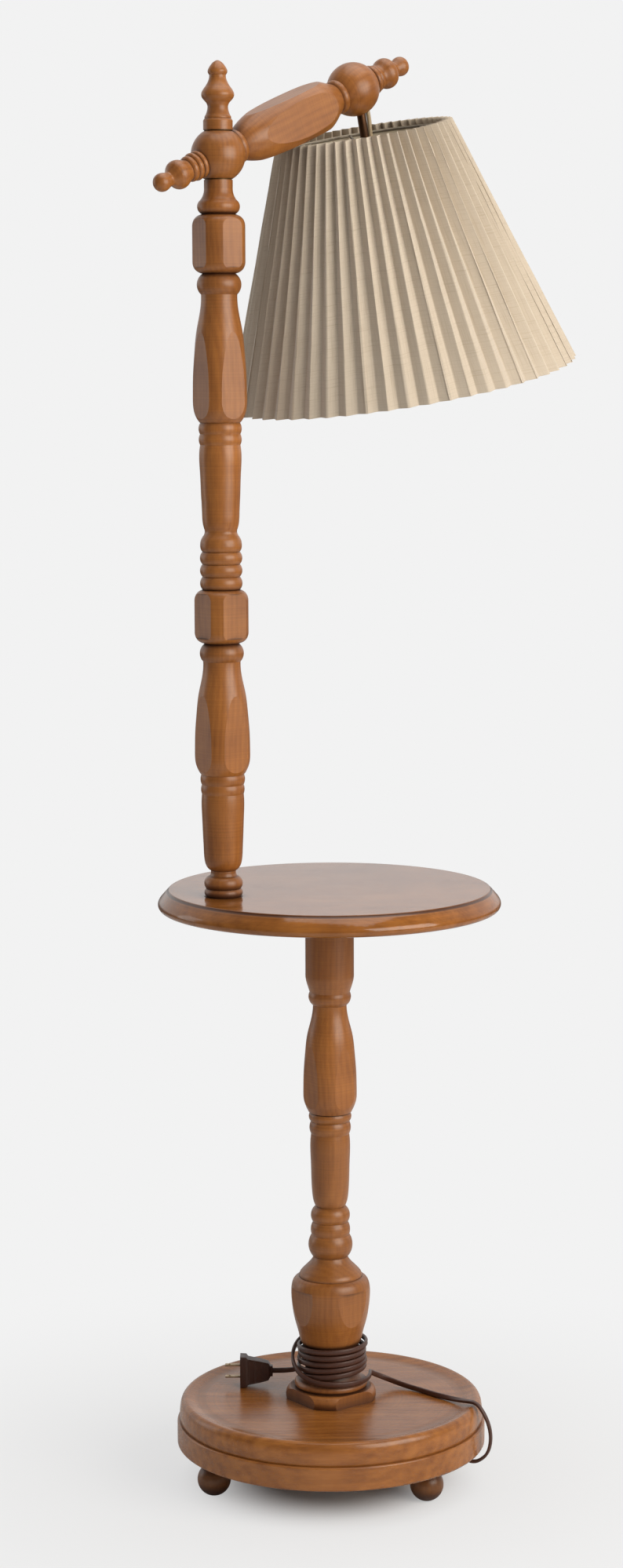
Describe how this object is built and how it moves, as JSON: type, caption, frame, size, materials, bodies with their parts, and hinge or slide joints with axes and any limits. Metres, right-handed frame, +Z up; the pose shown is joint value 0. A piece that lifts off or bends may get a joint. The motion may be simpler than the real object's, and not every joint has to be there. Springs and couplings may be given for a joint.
{
  "type": "floor lamp with table",
  "caption": "Turned wooden floor lamp with a round tray table on its post, a swivelling arm and a tilted pleated fabric shade.",
  "frame": {"origin": "on the floor, on the axis of the pedestal that carries the table", "axes": "+Z up; +X from the upper column towards the middle of the table"},
  "size_m": [0.4927, 0.4269, 1.4894],
  "materials": {
    "turned_wood": "satin stained and lacquered",
    "base_wood": "satin stained and lacquered",
    "table_wood": "gloss lacquered",
    "iron": "rough",
    "cover_board": "matte",
    "dark_rubber": "matte",
    "steel": "zinc plated",
    "brass_parts": "satin",
    "bronze": "dark bronze, satin",
    "liner_card": "matte",
    "black_plastic": "gloss",
    "bulb_glass": "frosted",
    "shade_paper": "matte",
    "shade_cloth": "woven matte",
    "pale_lead": "matte",
    "cord_brown": "satin",
    "plug_brown": "satin"
  },
  "bodies": {
    "stand": {"ball_foot_1": "turned_wood", "ball_foot_2": "turned_wood", "ball_foot_3": "turned_wood", "foot_screws": "steel", "base_lower_board": "base_wood", "base_upper_board": "base_wood", "base_weight": "iron", "base_cover": "cover_board", "cord_bushing": "dark_rubber", "pedestal_plinth": "turned_wood", "pedestal_neck": "turned_wood", "pedestal_urn": "turned_wood", "pedestal_spindle": "turned_wood", "pedestal_vase": "turned_wood", "pedestal_top": "turned_wood", "pedestal_pipe": "steel", "table_top": "table_wood", "table_flange": "steel", "channel_cover": "cover_board", "table_screws": "steel", "column_foot": "turned_wood", "column_spindle": "turned_wood", "column_vase": "turned_wood", "column_block": "turned_wood", "column_rings": "turned_wood", "upper_spindle": "turned_wood", "upper_vase": "turned_wood", "upper_block": "turned_wood", "column_cap": "turned_wood", "column_pipe": "steel", "pipe_nuts": "steel", "swivel_washers": "brass_parts", "stop_pin": "steel", "top_finial": "turned_wood", "lower_lead": "pale_lead", "cord_run": "cord_brown", "cord_winding": "cord_brown", "cord_tail": "cord_brown", "plug_body": "plug_brown", "plug_prongs": "steel"},
    "arm": {"swivel_ball": "turned_wood", "arm_body": "turned_wood", "arm_pipe": "steel", "tip_ball": "turned_wood", "tail_knob": "turned_wood", "tip_knob": "turned_wood", "shade_stem": "bronze", "retaining_ring": "brass_parts", "socket_cap": "brass_parts", "socket_shell": "brass_parts", "socket_liner": "liner_card", "socket_core": "black_plastic", "bulb_glass": "bulb_glass", "bulb_cap": "brass_parts", "upper_lead": "pale_lead"},
    "shade": {"shade_spider": "steel", "shade_wires": "steel", "shade_liner": "shade_paper", "shade_pleats": "shade_cloth"},
    "switch": {"switch_key": "black_plastic"}
  },
  "joints": [
    {"name": "arm_swivel", "type": "hinge", "parent": "stand", "child": "arm", "pos_m": [-0.1192, 0, 1.38119], "axis": [0, 0, 1], "range_deg": [-150, 150]},
    {"name": "shade_turn", "type": "hinge", "parent": "arm", "child": "shade", "pos_m": [0.06898, 0.05219, 1.39334], "axis": [0.1938, 0.0537, -0.9796], "continuous": true},
    {"name": "switch_turn", "type": "hinge", "parent": "arm", "child": "switch", "pos_m": [0.07121, 0.05281, 1.38208], "axis": [0.2672, -0.9636, 0], "continuous": true}
  ]
}
